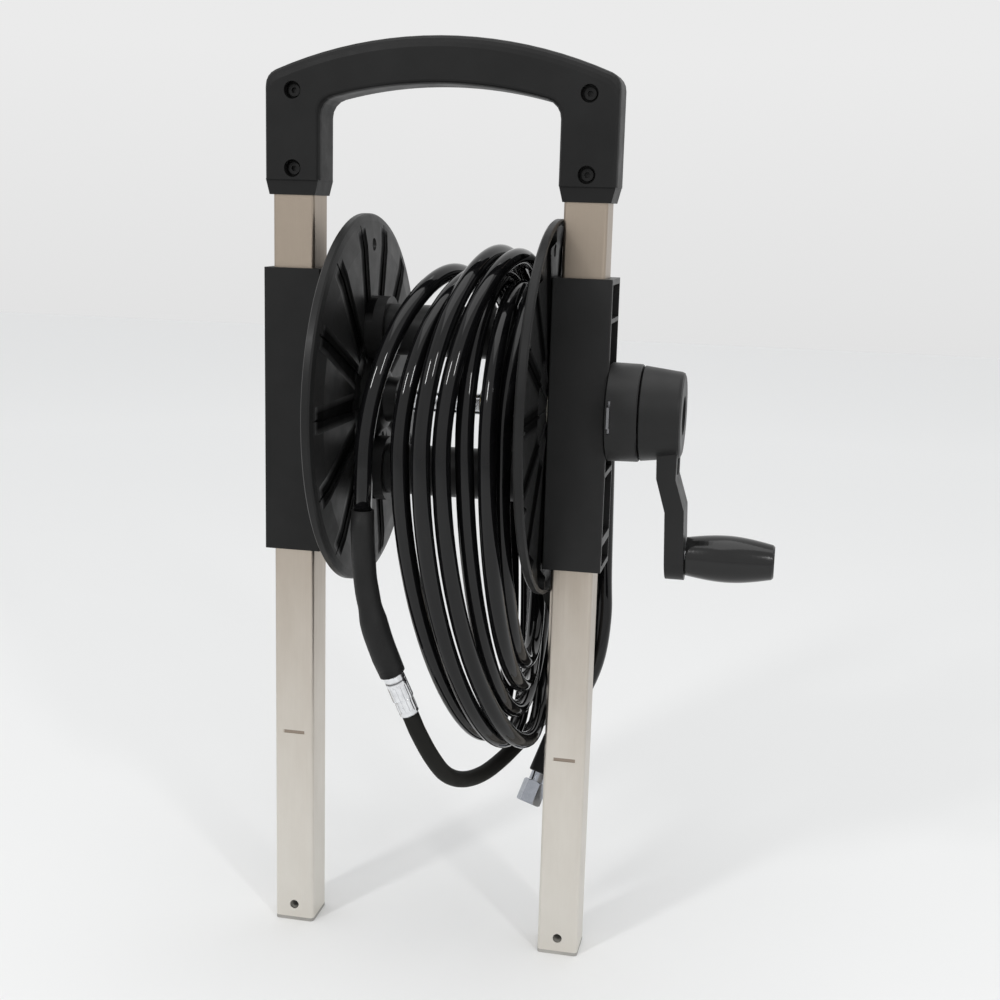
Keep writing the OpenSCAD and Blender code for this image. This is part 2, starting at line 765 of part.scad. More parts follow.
module crank_nut() {
    color("silver") on_axle(hub_out - recess_t + washer_t) difference() {
        intersection() {
            cylinder(d = nut_w / cos(30), h = nut_t, $fn = 6);
            cylinder(r1 = nut_w / 2 + 0.2 + nut_t, r2 = nut_w / 2 + 0.2, h = nut_t);
        }
        translate([0, 0, -1]) cylinder(d = stud_d, h = nut_t + 2);
    }
}

module grip_pin() {
    color("silver") on_axle(grip_x - 12, grip_h) {
        cylinder(d = pin_d, h = grip_len + 12 - cap_t - 1 - seat);
        translate([0, 0, grip_len + 12 - cap_t - 1 - seat - pin_head_t])
            cylinder(d = pin_head_d, h = pin_head_t);
    }
}

// Barrel-shaped crank grip, its widest point nearer the arm
module crank_grip() {
    r0 = grip_d * 0.41;
    rm = grip_d / 2;
    r1 = grip_d * 0.372;
    xm = grip_len * 0.46;
    color([0.15, 0.15, 0.15]) on_axle(grip_x, grip_h) difference() {
        rotate_extrude($fn = 72) polygon(concat([[0, 0]],
            [for (i = steps(9)) let (u = i / 9)
                [r0 + (rm - r0) * sin(90 * u), xm * u]],
            [for (i = [1:9]) let (u = i / 9)
                [r1 + (rm - r1) * cos(90 * u), xm + (grip_len - 1.6 - xm) * u]],
            [[r1 - 1.6, grip_len], [0, grip_len]]));
        translate([0, 0, -1]) cylinder(d = pin_d + 2 * fit, h = grip_len + 2);
        translate([0, 0, grip_len - cap_t - 1 - 2 * seat - pin_head_t - 0.2])
            cylinder(d = pin_head_d + 1, h = 30);
        translate([0, 0, grip_len - cap_t]) cylinder(d = r1 * 2 - 6, h = 30);
    }
}

module grip_cap() {
    color([0.15, 0.15, 0.15]) on_axle(grip_x + grip_len - cap_t, grip_h)
        rotate_extrude($fn = 64) polygon([[0, 0], [grip_d * 0.372 - 3.1, 0],
            [grip_d * 0.372 - 3.1, cap_t - 0.5], [grip_d * 0.372 - 3.8, cap_t], [0, cap_t]]);
}

// ---- wound pressure hose ----

// Where each turn passes the front, the top, the back and the bottom of the reel:
// (X, Y) at the front and back, (X, height) at the top and bottom
turn_front = [[-28, -118], [2, -122], [15, -136.5], [28.5, -127.5], [43, -114], [62, -110],
    [75, -97]];
turn_top = [[14, 590], [34, 588], [49, 606], [64, 601.5], [54, 585], [67, 574]];
turn_back = [[34, 131], [50, 134], [65.5, 138.5], [76, 125], [62, 116], [69, 101.5]];
turn_low = [[56, 194], [73, 187.5], [89.5, 189], [77, 211.5], [76.5, 235], [81.5, 255]];
turn_mid_h = 440;
coil_start_h = 405;
end_run = 15;

function station(k) = let (j = floor(k / 4), q = k % 4)
    q == 0 ? [turn_front[j][0], turn_front[j][1], turn_mid_h]
    : q == 1 ? [turn_top[j][0], 0, turn_top[j][1]]
    : q == 2 ? [turn_back[j][0], turn_back[j][1], turn_mid_h]
    : [turn_low[j][0], 0, turn_low[j][1]];

last_station = 24;

// Slope of X at a station, flat at both ends
function drift(k) = k <= 0 || k >= last_station ? 0 : (station(k + 1)[0] - station(k - 1)[0]) / 2;

// Point at fraction t of the quarter turn from station k to the next
function quarter(k, t) = let (
        a = station(k),
        b = station(k + 1),
        c = cos(90 * t),
        s = sin(90 * t),
        x = (2 * t * t * t - 3 * t * t + 1) * a[0] + (t * t * t - 2 * t * t + t) * drift(k)
            + (3 * t * t - 2 * t * t * t) * b[0] + (t * t * t - t * t) * drift(k + 1))
    k % 2 == 0 ? [x, a[1] * c, a[2] + (b[2] - a[2]) * s]
        : [x, b[1] * s, b[2] + (a[2] - b[2]) * c];

function coil_path(m) = concat(
    [[turn_front[0][0], turn_front[0][1], coil_start_h]],
    [for (k = [0:last_station - 1], i = [0:m - 1]) quarter(k, i / m)],
    [station(last_station), station(last_station) + [0, 0, end_run]]);

module main_hose_coil() {
    c = coil_path(6);
    color([0.07, 0.07, 0.08]) from_floor() tube(c, same(hose_d / 2, len(c)), 6);
}

// Least gap between turns, measured on points a few millimetres apart
fine = coil_path(40);
fine_n = len(fine);
turn_gap = min([for (i = [0:2:fine_n - 1], j = [i + 80:1:fine_n - 1]) norm(fine[i] - fine[j])])
    - hose_d;
fine_len = [for (i = [1:fine_n - 1]) norm(fine[i] - fine[i - 1])] * same(1, fine_n - 1);
echo(least_gap_between_turns = turn_gap, wound_length = fine_len);  // main_hose_coil

tail_points = [[75, -97, 455], [75, -97, 463], [75.7, -94.5, 484], [77.3, -85, 508],
    [79.5, -69, 532], [81.5, -45, 557], [82.5, -15, 574], [82.5, 18, 585], [83, 48, 595],
    [84, 76, 602.5], [87.5, 101, 604], [94, 123, 596.5], [102, 140, 580], [110, 150, 555],
    [117, 151, 522], [122, 143, 486], [126, 129, 446], [129, 112, 405], [135, 77, 322],
    [138, 64, 285], [135, 57, 250], [126, 56, 222], [114.5, 53, 202], [106, 47, 188],
    [102, 41, 176]];

module main_hose_tail() {
    c = smooth_path(tail_points, 2);
    color([0.07, 0.07, 0.08]) from_floor() tube(c, same(hose_d / 2, len(c)), 10);
}

// ---- hose ends ----

end_point = [102, 41, 176];
end_dir = [-2, -3, -6];
sleeve_len = 34;
nipple_d = 14.5;
neck_d = 11;
end_nut_w = 19;
end_nut_x = 42;
end_nut_len = 20;

module at_end() {
    from_floor() translate(end_point)
        rotate([0, acos(end_dir[2] / norm(end_dir)), atan2(end_dir[1], end_dir[0])]) children();
}

module end_sleeve() {
    color([0.1, 0.1, 0.1]) at_end() rotate_extrude($fn = 48)
        polygon([[0, 0], [8.8, 0], [9.5, 0.8], [10, sleeve_len - 1], [9.4, sleeve_len],
            [0, sleeve_len]]);
}

module end_nipple() {
    color("silver") at_end() difference() {
        union() {
            translate([0, 0, sleeve_len]) cylinder(d = nipple_d, h = 7.6);
            translate([0, 0, sleeve_len]) cylinder(d = neck_d, h = 16);
            translate([0, 0, end_nut_x + 6.2]) cylinder(d = 13.6, h = end_nut_len - 8.2);
        }
        translate([0, 0, sleeve_len + 2]) cylinder(d = 6, h = 60);
    }
}

module swivel_nut() {
    color("silver") at_end() translate([0, 0, end_nut_x]) difference() {
        intersection() {
            cylinder(d = end_nut_w / cos(30), h = end_nut_len, $fn = 6);
            rotate_extrude($fn = 64) polygon([[0, 0], [end_nut_w / 2, 0],
                [end_nut_w / 2 + 1.6, 1.4], [end_nut_w / 2 + 1.6, end_nut_len - 1.4],
                [end_nut_w / 2, end_nut_len], [0, end_nut_len]]);
        }
        translate([0, 0, -1]) cylinder(d = neck_d + 2 * fit, h = 10);
        translate([0, 0, 6]) cylinder(d = 14.6, h = end_nut_len);
    }
}

coupling_points = [[-28, -118, 405], [-28, -118, 390], [-25.5, -117.5, 350], [-18.5, -115.5, 314],
    [-10.2, -112.4, 287.6], [-5, -110, 274]];
ferrule_point = [-5, -110, 274];
ferrule_dir = [13, 6, -34];
ferrule_d = 16.6;

module coupling_sleeve() {
    c = smooth_path(coupling_points, 4);
    n = len(c);
    color([0.09, 0.09, 0.09]) from_floor()
        tube(c, [for (i = [0:n - 1]) i == 0 ? 8.9 : i == n - 1 ? 10.6 : 9.4 + 1.7 * i / n], 16);
}

module lead_ferrule() {
    len = norm(ferrule_dir);
    color("silver") from_floor() translate(ferrule_point)
        rotate([0, acos(ferrule_dir[2] / len), atan2(ferrule_dir[1], ferrule_dir[0])])
            intersection() {
                rotate_extrude($fn = 64) polygon([[0, 0], [ferrule_d / 2 - 0.6, 0],
                    [ferrule_d / 2 + 0.2, 1.5], [ferrule_d / 2 + 0.4, len * 0.6],
                    [ferrule_d / 2 - 0.3, len * 0.6 + 2], [ferrule_d / 2 - 0.3, len - 1],
                    [ferrule_d / 2 - 1, len], [0, len]]);
                union() {
                    cylinder(d = ferrule_d / cos(22.5), h = len * 0.6, $fn = 8);
                    translate([0, 0, len * 0.6]) cylinder(d = ferrule_d + 2, h = len * 0.4);
                }
            }
}

// Lead hose from the outlet elbow, past the drum posts and out below the wound turns
lead_points = [[54.6, 12.8, 456.6], [60.6, 20.8, 445.1], [67, 29, 427], [72, 36, 405],
    [77, 42, 380], [81, 45, 352], [86, 49, 326], [92, 53, 302], [99, 58, 280], [104, 63, 256],
    [106, 66, 230], [101, 64, 207], [91, 55, 186], [79, 39, 170], [67, 14, 160], [56, -15, 157],
    [45, -44, 163], [34, -69, 177], [24, -89, 200], [13.2, -101.6, 226.4], [8, -104, 240]];

module lead_hose() {
    c = smooth_path(lead_points, 2);
    color([0.1, 0.1, 0.1]) from_floor() tube(c, same(lead_d / 2, len(c)), 10);
}

left_leg();
right_leg();
foot_plugs();
left_bracket();
right_bracket();
bracket_screws();
handle_front_shell();
handle_rear_shell();
handle_screws();
handle_nuts();
left_bush();
right_bush();
retaining_clip();
axle();
axle_plug();
swivel_housing();
swivel_seals();
inlet_nipple();
left_flange();
right_flange();
drum_screws();
outlet_elbow();
crank_arm();
crank_washer();
crank_nut();
grip_pin();
crank_grip();
grip_cap();
lead_hose();
lead_ferrule();
coupling_sleeve();
main_hose_coil();
main_hose_tail();
end_sleeve();
end_nipple();
swivel_nut();
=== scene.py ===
"""Looks of the hose reel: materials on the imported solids, and the hoses as smooth swept tubes."""

import json
import math

import bpy
from mathutils import Matrix, Vector


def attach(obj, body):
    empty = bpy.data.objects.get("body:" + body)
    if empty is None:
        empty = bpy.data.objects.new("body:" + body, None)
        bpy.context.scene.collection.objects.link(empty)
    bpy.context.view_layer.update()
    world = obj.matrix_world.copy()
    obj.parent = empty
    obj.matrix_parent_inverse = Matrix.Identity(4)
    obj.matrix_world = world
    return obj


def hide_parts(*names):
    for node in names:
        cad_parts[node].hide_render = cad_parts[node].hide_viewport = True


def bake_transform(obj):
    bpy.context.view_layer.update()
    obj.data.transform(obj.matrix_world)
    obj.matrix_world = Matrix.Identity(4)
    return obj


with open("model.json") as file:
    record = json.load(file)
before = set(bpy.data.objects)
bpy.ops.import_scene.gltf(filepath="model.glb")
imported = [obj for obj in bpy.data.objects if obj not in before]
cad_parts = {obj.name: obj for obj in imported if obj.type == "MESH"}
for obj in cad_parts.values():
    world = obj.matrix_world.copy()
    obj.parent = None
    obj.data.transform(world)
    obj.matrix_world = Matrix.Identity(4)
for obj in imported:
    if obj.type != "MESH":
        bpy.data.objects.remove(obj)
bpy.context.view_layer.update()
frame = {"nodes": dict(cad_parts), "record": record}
NODES = frame["nodes"]

MM = 0.001
FOOT_HOLE_H = 15  # height of the frame's origin above the floor, in millimetres
FLOOR_Z = -FOOT_HOLE_H * MM


def place(x, y, h):
    """A point given in millimetres, with its height above the floor, as the frame has it."""
    return Vector((x * MM, y * MM, (h - FOOT_HOLE_H) * MM))


# ---- camera: angles in radians, lens and sensor in millimetres ----

CAMERA_PLACE = place(287.17, -1136.88, 633.47)
CAMERA_YAW = 0.2016
CAMERA_PITCH = 0.2023
CAMERA_ROLL = 0.0284
CAMERA_LENS = 51.09
CAMERA_SENSOR = 36
CAMERA_CLIP = 0.01


def add_camera():
    forward = Vector(
        (
            -math.sin(CAMERA_YAW) * math.cos(CAMERA_PITCH),
            math.cos(CAMERA_YAW) * math.cos(CAMERA_PITCH),
            -math.sin(CAMERA_PITCH),
        )
    )
    level = Vector((math.cos(CAMERA_YAW), math.sin(CAMERA_YAW), 0))
    upright = level.cross(forward)
    right = math.cos(CAMERA_ROLL) * level + math.sin(CAMERA_ROLL) * upright
    up = math.cos(CAMERA_ROLL) * upright - math.sin(CAMERA_ROLL) * level
    data = bpy.data.cameras.new("camera")
    data.lens = CAMERA_LENS
    data.sensor_width = CAMERA_SENSOR
    data.clip_start = CAMERA_CLIP
    camera = bpy.data.objects.new("camera", data)
    bpy.context.collection.objects.link(camera)
    turn = Matrix((right, up, -forward)).transposed().to_4x4()
    camera.matrix_world = Matrix.Translation(CAMERA_PLACE) @ turn
    bpy.context.scene.camera = camera


add_camera()

# ---- hose routes, in millimetres, heights above the floor ----

HOSE_D = 14.3
LEAD_D = 13.6
SIDES = 28
# Stretches of each tube between two points of its route
COIL_PIECES = 24
TAIL_PIECES = 6
LEAD_PIECES = 8
SLEEVE_PIECES = 24

# (X, Y) at the front and back of each turn, (X, height) at its top and bottom
TURN_FRONT = [
    (-28, -118), (2, -122), (20.5, -130.5), (35, -125), (49.5, -110.5), (68, -115.5), (75, -97),
]
TURN_TOP = [(11, 582), (30.5, 580), (49, 598.5), (64.5, 596), (53, 579), (67, 571)]
TURN_BACK = [(34, 131), (50, 134), (65, 138.5), (76, 126.5), (60.5, 115.5), (69.5, 101.5)]
TURN_LOW = [(55, 194), (71, 190), (87.5, 191), (78, 217.5), (82.5, 241), (83.5, 261)]
TURN_MID_H = 440
COIL_START_H = 405
LAST_STATION = 4 * len(TURN_TOP)

TAIL_POINTS = [
    (75, -97, 455), (75, -97, 463), (75.7, -94.5, 484), (77.3, -85, 508), (79.5, -69, 532),
    (81.5, -45, 557), (82.5, -15, 574), (82.5, 18, 585), (83, 48, 595), (84, 76, 602.5),
    (87.5, 101, 604), (94, 123, 596.5), (102, 140, 580), (110, 150, 555), (117, 151, 522),
    (122, 143, 486), (126, 129, 446), (129, 112, 405), (135, 77, 322), (138, 64, 285),
    (135, 57, 250), (126, 56, 222), (114.5, 53, 202), (106, 47, 188), (102, 41, 176),
]

LEAD_POINTS = [
    (54.6, 12.8, 456.6), (60.6, 20.8, 445.1), (67, 29, 427), (72, 36, 405), (77, 42, 380),
    (81, 45, 352), (86, 49, 326), (92, 53, 302), (99, 58, 280), (104, 63, 256),
    (105, 66, 230), (98, 64, 207), (86.5, 55, 187), (73, 39, 172), (61, 14, 162),
    (50, -15, 158.5), (39.5, -44, 163.5), (30, -69, 177), (22, -89, 200), (13, -101.6, 226.4),
    (8, -104, 240),
]

COUPLING_POINTS = [
    (-28, -118, 405), (-28, -118, 390), (-25.5, -117.5, 350), (-18.5, -115.5, 314),
    (-10.2, -112.4, 287.6), (-5, -110, 274),
]


def station(k):
    """The point where the wound hose passes the front, top, back or bottom of its k / 4th turn."""
    turn, quarter = divmod(k, 4)
    if quarter == 0:
        x, y = TURN_FRONT[turn]
        return x, y, TURN_MID_H
    if quarter == 1:
        x, h = TURN_TOP[turn]
        return x, 0, h
    if quarter == 2:
        x, y = TURN_BACK[turn]
        return x, y, TURN_MID_H
    x, h = TURN_LOW[turn]
    return x, 0, h


def drift(k):
    """Slope of X at a station, flat at both ends."""
    if k <= 0 or k >= LAST_STATION:
        return 0
    return (station(k + 1)[0] - station(k - 1)[0]) / 2


def quarter_turn(k, t):
    """The point at fraction t of the quarter turn from station k to the next.

    X goes along a cubic with the drift at both ends, Y and the height along a quarter ellipse.
    """
    a = station(k)
    b = station(k + 1)
    c = math.cos(math.pi / 2 * t)
    s = math.sin(math.pi / 2 * t)
    x = (2 * t**3 - 3 * t**2 + 1) * a[0] + (t**3 - 2 * t**2 + t) * drift(k)
    x += (3 * t**2 - 2 * t**3) * b[0] + (t**3 - t**2) * drift(k + 1)
    if k % 2 == 0:
        return place(x, a[1] * c, a[2] + (b[2] - a[2]) * s)
    return place(x, b[1] * s, b[2] + (a[2] - b[2]) * c)


def spline_path(points, pieces):
    """A Catmull-Rom path through the points; its first and last stretches stay straight."""
    p = [place(*q) for q in points]
    path = [p[0]]
    for i in range(1, len(p) - 2):
        for k in range(pieces):
            t = k / pieces
            path.append(
                0.5
                * (
                    2 * p[i]
                    + (p[i + 1] - p[i - 1]) * t
                    + (2 * p[i - 1] - 5 * p[i] + 4 * p[i + 1] - p[i + 2]) * t**2
                    + (3 * p[i] - p[i - 1] - 3 * p[i + 1] + p[i + 2]) * t**3
                )
            )
    return path + p[-2:]


def wound_path(pieces):
    """The wound turns, from the coupling sleeve's top to the start of the tail."""
    x, y = TURN_FRONT[0]
    path = [place(x, y, COIL_START_H)]
    path += [quarter_turn(k, i / pieces) for k in range(LAST_STATION) for i in range(pieces)]
    return path


def path_length(path):
    """Length of a path, in metres."""
    return sum((b - a).length for a, b in zip(path, path[1:]))


# ---- tubes ----


def carried_frames(path):
    """The path's directions and a sideways vector at each point, carried along without twist."""
    tangents = []
    for i in range(len(path)):
        before = path[max(i - 1, 0)]
        after = path[min(i + 1, len(path) - 1)]
        tangents.append((after - before).normalized())
    side = tangents[0].orthogonal().normalized()
    sides = []
    for i, tangent in enumerate(tangents):
        if i:
            side = tangents[i - 1].rotation_difference(tangent) @ side
        side = (side - side.dot(tangent) * tangent).normalized()
        sides.append(side)
    return tangents, sides


def tube(name, path, radii, sides=SIDES):
    """A closed tube mesh along the path, with UVs in metres round it and along it."""
    tangents, across = carried_frames(path)
    along = [0.0]
    for a, b in zip(path, path[1:]):
        along.append(along[-1] + (b - a).length)
    vertices = []
    for point, tangent, side, radius in zip(path, tangents, across, radii):
        other = tangent.cross(side)
        for k in range(sides):
            angle = 2 * math.pi * k / sides
            vertices.append(point + radius * (math.cos(angle) * side + math.sin(angle) * other))
    faces = []
    uvs = []
    girth = 2 * math.pi * max(radii)
    for i in range(len(path) - 1):
        for k in range(sides):
            n = (k + 1) % sides
            faces.append((i * sides + k, i * sides + n, (i + 1) * sides + n, (i + 1) * sides + k))
            u0 = girth * k / sides
            u1 = girth * (k + 1) / sides
            uvs += [(u0, along[i]), (u1, along[i]), (u1, along[i + 1]), (u0, along[i + 1])]
    last = (len(path) - 1) * sides
    faces.append(tuple(range(sides - 1, -1, -1)))
    faces.append(tuple(range(last, last + sides)))
    uvs += [(0, 0)] * (2 * sides)
    mesh = bpy.data.meshes.new(name)
    mesh.from_pydata(vertices, [], faces)
    layer = mesh.uv_layers.new(name="hose")
    for loop, uv in zip(layer.data, uvs):
        loop.uv = uv
    # The two end faces, the last in the list, stay flat
    for polygon in mesh.polygons[: len(faces) - 2]:
        polygon.use_smooth = True
    mesh.update()
    piece = bpy.data.objects.new(name, mesh)
    bpy.context.collection.objects.link(piece)
    return piece


def add_main_hose():
    """The pressure hose: wound turns, then the tail over the right flange to its end fitting."""
    path = wound_path(COIL_PIECES) + spline_path(TAIL_POINTS, TAIL_PIECES)
    hose = tube("main_hose", path, [HOSE_D / 2 * MM] * len(path))
    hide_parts("main_hose_coil", "main_hose_tail")
    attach(hose, "frame")
    return hose


def add_lead_hose():
    """The matt lead hose from the drum's outlet elbow to the ferrule below the coupling sleeve."""
    path = spline_path(LEAD_POINTS, LEAD_PIECES)
    path.reverse()
    hose = tube("lead_hose_skin", path, [LEAD_D / 2 * MM] * len(path))
    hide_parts("lead_hose")
    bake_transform(hose)
    return hose


SLEEVE_TOP_R = 9.3
SLEEVE_LOW_R = 10.9
SLEEVE_TOP_CHAMFER = 0.6
SLEEVE_LOW_CHAMFER = 0.5
SLEEVE_STEP = (0.55, 0.67)  # where the sleeve widens over the crimp, as shares of its length
SLEEVE_WAVE = 0.12
SLEEVE_HALF_WAVES = 9


def eased(t):
    """A smooth step from 0 to 1 while t goes from 0 to 1."""
    t = min(1, max(0, t))
    return t * t * (3 - 2 * t)


def add_coupling_sleeve():
    """The rubber sleeve over the coupling: slim over the hose, wider over the crimp below."""
    path = spline_path(COUPLING_POINTS, SLEEVE_PIECES)
    total = path_length(path)
    start, stop = SLEEVE_STEP
    radii = []
    run = 0.0
    for i, point in enumerate(path):
        run += (point - path[i - 1]).length if i else 0.0
        t = run / total
        r = SLEEVE_TOP_R + (SLEEVE_LOW_R - SLEEVE_TOP_R) * eased((t - start) / (stop - start))
        r += SLEEVE_WAVE * math.sin(SLEEVE_HALF_WAVES * math.pi * t) * math.sin(math.pi * t)
        radii.append(r * MM)
    radii[0] -= SLEEVE_TOP_CHAMFER * MM
    radii[-1] -= SLEEVE_LOW_CHAMFER * MM
    sleeve = tube("coupling_sleeve_skin", path, radii)
    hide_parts("coupling_sleeve")
    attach(sleeve, "frame")
    return sleeve


main_hose = add_main_hose()
lead_hose = add_lead_hose()
sleeve = add_coupling_sleeve()

# ---- materials ----

# Where a Mix node has its two colours and their mixture
MIX_A, MIX_B, MIX_RESULT = 6, 7, 2


class Build:
    """Small helper round one material's node tree."""

    def __init__(self, name):
        self.material = bpy.data.materials.new(name)
        self.material.use_nodes = True
        self.tree = self.material.node_tree
        self.shader = self.tree.nodes["Principled BSDF"]

    def node(self, kind, **settings):
        made = self.tree.nodes.new(kind)
        for key, value in settings.items():
            setattr(made, key, value)
        return made

    def link(self, a, b):
        self.tree.links.new(a, b)

    def set(self, **values):
        """Fixed values on the shader's own sockets, with _ for a space in their names."""
        for key, value in values.items():
            self.shader.inputs[key.replace("_", " ")].default_value = value

    def coordinates(self, scale=(1, 1, 1), source="Object", turn=0):
        texture = self.node("ShaderNodeTexCoord")
        mapping = self.node("ShaderNodeMapping")
        mapping.inputs["Scale"].default_value = scale
        mapping.inputs["Rotation"].default_value = (0, 0, turn)
        self.link(texture.outputs[source], mapping.inputs["Vector"])
        return mapping.outputs["Vector"]

    def split(self, vector):
        """The X, Y and Z of a vector."""
        made = self.node("ShaderNodeSeparateXYZ")
        self.link(vector, made.inputs["Vector"])
        return made.outputs["X"], made.outputs["Y"], made.outputs["Z"]

    def noise(self, vector, scale, detail=4, roughness=0.6):
        made = self.node("ShaderNodeTexNoise")
        made.inputs["Scale"].default_value = scale
        made.inputs["Detail"].default_value = detail
        made.inputs["Roughness"].default_value = roughness
        self.link(vector, made.inputs["Vector"])
        return made.outputs["Fac"]

    def spread(self, value, low, high, start=0.3, stop=0.7):
        """A value that goes from low to high while the given one goes from start to stop."""
        made = self.node("ShaderNodeMapRange")
        made.inputs["From Min"].default_value = start
        made.inputs["From Max"].default_value = stop
        made.inputs["To Min"].default_value = low
        made.inputs["To Max"].default_value = high
        self.link(value, made.inputs["Value"])
        return made.outputs["Result"]

    def colours(self, value, low, high, start=0.3, stop=0.7):
        """A colour that goes from low to high while the value goes from start to stop."""
        ramp = self.node("ShaderNodeValToRGB")
        ramp.color_ramp.elements[0].position = start
        ramp.color_ramp.elements[0].color = (*low, 1)
        ramp.color_ramp.elements[1].position = stop
        ramp.color_ramp.elements[1].color = (*high, 1)
        self.link(value, ramp.inputs["Fac"])
        return ramp.outputs["Color"]

    def calc(self, operation, *values, clamp=False):
        """A Math node on sockets and plain numbers."""
        made = self.node("ShaderNodeMath", operation=operation, use_clamp=clamp)
        for socket, value in zip(made.inputs, values):
            if isinstance(value, (int, float)):
                socket.default_value = value
            else:
                self.link(value, socket)
        return made.outputs[0]

    def product(self, *values):
        """Several values multiplied."""
        made = values[0]
        for value in values[1:]:
            made = self.calc("MULTIPLY", made, value)
        return made

    def ramp(self, value, start, width):
        """0 up to start, then rising to 1 over the width."""
        return self.calc("DIVIDE", self.calc("SUBTRACT", value, start), width, clamp=True)

    def fall(self, value, stop, width):
        """0 from stop on, and 1 below it by the width or more."""
        return self.calc("DIVIDE", self.calc("SUBTRACT", stop, value), width, clamp=True)

    def distance(self, a, b):
        """Length of the diagonal of a and b."""
        squares = self.calc("ADD", self.calc("POWER", a, 2), self.calc("POWER", b, 2))
        return self.calc("SQRT", squares)

    def off(self, value, middle):
        """How far a value is from the middle, on either side."""
        return self.calc("ABSOLUTE", self.calc("SUBTRACT", value, middle))

    def along(self, vector, direction, start):
        """Distance of a point past start, measured along a direction."""
        dot = self.node("ShaderNodeVectorMath", operation="DOT_PRODUCT")
        self.link(vector, dot.inputs[0])
        dot.inputs[1].default_value = direction
        return self.calc("SUBTRACT", dot.outputs["Value"], start.dot(direction))

    def blend(self, factor, base, other):
        """Mix of a colour socket and a fixed colour."""
        mix = self.node("ShaderNodeMix", data_type="RGBA")
        self.link(factor, mix.inputs["Factor"])
        self.link(base, mix.inputs[MIX_A])
        mix.inputs[MIX_B].default_value = (*other, 1)
        return mix.outputs[MIX_RESULT]

    def bump(self, painted_light_height, strength, distance, below=None):
        made = self.node("ShaderNodeBump")
        made.inputs["Strength"].default_value = strength
        made.inputs["Distance"].default_value = distance
        self.link(painted_light_height, made.inputs["Height"])
        if below is not None:
            self.link(below, made.inputs["Normal"])
        return made.outputs["Normal"]


def grey(level):
    return (level, level, level)


# Plastics: how fine the flow marks, the uneven sheen and the grain are, and how strong
FLOW_SCALE = 14
FLOW_LIGHTER, FLOW_LIFT = 1.4, 0.001
SHEEN_SCALE = 60
SHEEN_DOWN, SHEEN_UP = 0.05, 0.07
GRAIN_SCALE = 900
GRAIN_DEPTH = 0.00006
GRAIN_STRENGTH = 0.35


def flow_tone(m, even, colour):
    """A plastic's colour with faint, slightly lighter flow marks."""
    lighter = tuple(c * FLOW_LIGHTER + FLOW_LIFT for c in colour)
    return m.colours(m.noise(even, FLOW_SCALE, 3), colour, lighter)


def uneven_sheen(m, even, roughness):
    patches = m.noise(even, SHEEN_SCALE, 5)
    return m.spread(patches, roughness - SHEEN_DOWN, roughness + SHEEN_UP)


def fine_grain(m, even, scale=GRAIN_SCALE, depth=GRAIN_DEPTH, below=None):
    return m.bump(m.noise(even, scale, 2), GRAIN_STRENGTH, depth, below)


def moulded(name, colour, roughness, grain=GRAIN_SCALE, depth=GRAIN_DEPTH, specular=0.5):
    """Moulded plastic: fine grain, faint flow marks and slightly uneven sheen."""
    m = Build(name)
    m.set(Metallic=0.0, Specular_IOR_Level=specular)
    even = m.coordinates()
    m.link(flow_tone(m, even, colour), m.shader.inputs["Base Color"])
    m.link(uneven_sheen(m, even, roughness), m.shader.inputs["Roughness"])
    m.link(fine_grain(m, even, grain, depth), m.shader.inputs["Normal"])
    return m.material


# Flutes of the flanges, in metres
AXLE_Z = 0.46
FLUTES = 14  # in each flange
FLUTE_HALF = 0.0108
FLUTE_WALL = 0.005
# The flutes run between these two radii, and each end slopes over its own length
FLUTE_FROM, FLUTE_FROM_SLOPE = 0.050, 0.006
FLUTE_TO, FLUTE_TO_SLOPE = 0.143, 0.005
FLUTE_DEPTH = 0.004
FLUTE_DULL = 0.3  # how much rougher a flute's floor is
FLUTE_DIM = 0.8  # the share of its gloss that it loses
# Both flange plates lie further than PLATE_OFF from the drum's middle; the posts between are plain
DRUM_MIDDLE_X = 0.0165
PLATE_OFF = 0.0665


def fluted(name, colour, painted_flute_shade, roughness, specular):
    """Moulded flange plastic with pressed radial flutes, centred between its lands; the flute
    floors are painted near black as shade.
    """
    m = Build(name)
    m.set(Metallic=0.0, Specular_IOR_Level=specular)
    even = m.coordinates()
    x, across, z = m.split(even)

    rise = m.calc("SUBTRACT", z, AXLE_Z)
    radius = m.distance(rise, across)
    turn = m.calc("MULTIPLY", m.calc("ARCTAN2", across, rise), FLUTES / (2 * math.pi))
    off_middle = m.off(m.calc("FRACT", turn), 0.5)
    sideways = m.product(off_middle, radius, 2 * math.pi / FLUTES)
    trough = m.fall(sideways, FLUTE_HALF, FLUTE_WALL)
    inner = m.ramp(radius, FLUTE_FROM, FLUTE_FROM_SLOPE)
    outer = m.fall(radius, FLUTE_TO, FLUTE_TO_SLOPE)
    plate = m.calc("GREATER_THAN", m.off(x, DRUM_MIDDLE_X), PLATE_OFF)
    depth = m.product(trough, inner, outer, plate)

    # Painted shade: the flute floors take the near-black colour in place of the shade in them
    tone_with_painted_light = m.blend(depth, flow_tone(m, even, colour), painted_flute_shade)
    m.link(tone_with_painted_light, m.shader.inputs["Base Color"])
    dull = m.calc("MULTIPLY_ADD", depth, FLUTE_DULL, uneven_sheen(m, even, roughness))
    m.link(dull, m.shader.inputs["Roughness"])
    gloss = m.calc("MULTIPLY_ADD", depth, -FLUTE_DIM * specular, specular)
    m.link(gloss, m.shader.inputs["Specular IOR Level"])
    sunk = m.bump(m.calc("MULTIPLY", depth, -1), 1.0, FLUTE_DEPTH)
    m.link(fine_grain(m, even, below=sunk), m.shader.inputs["Normal"])
    return m.material
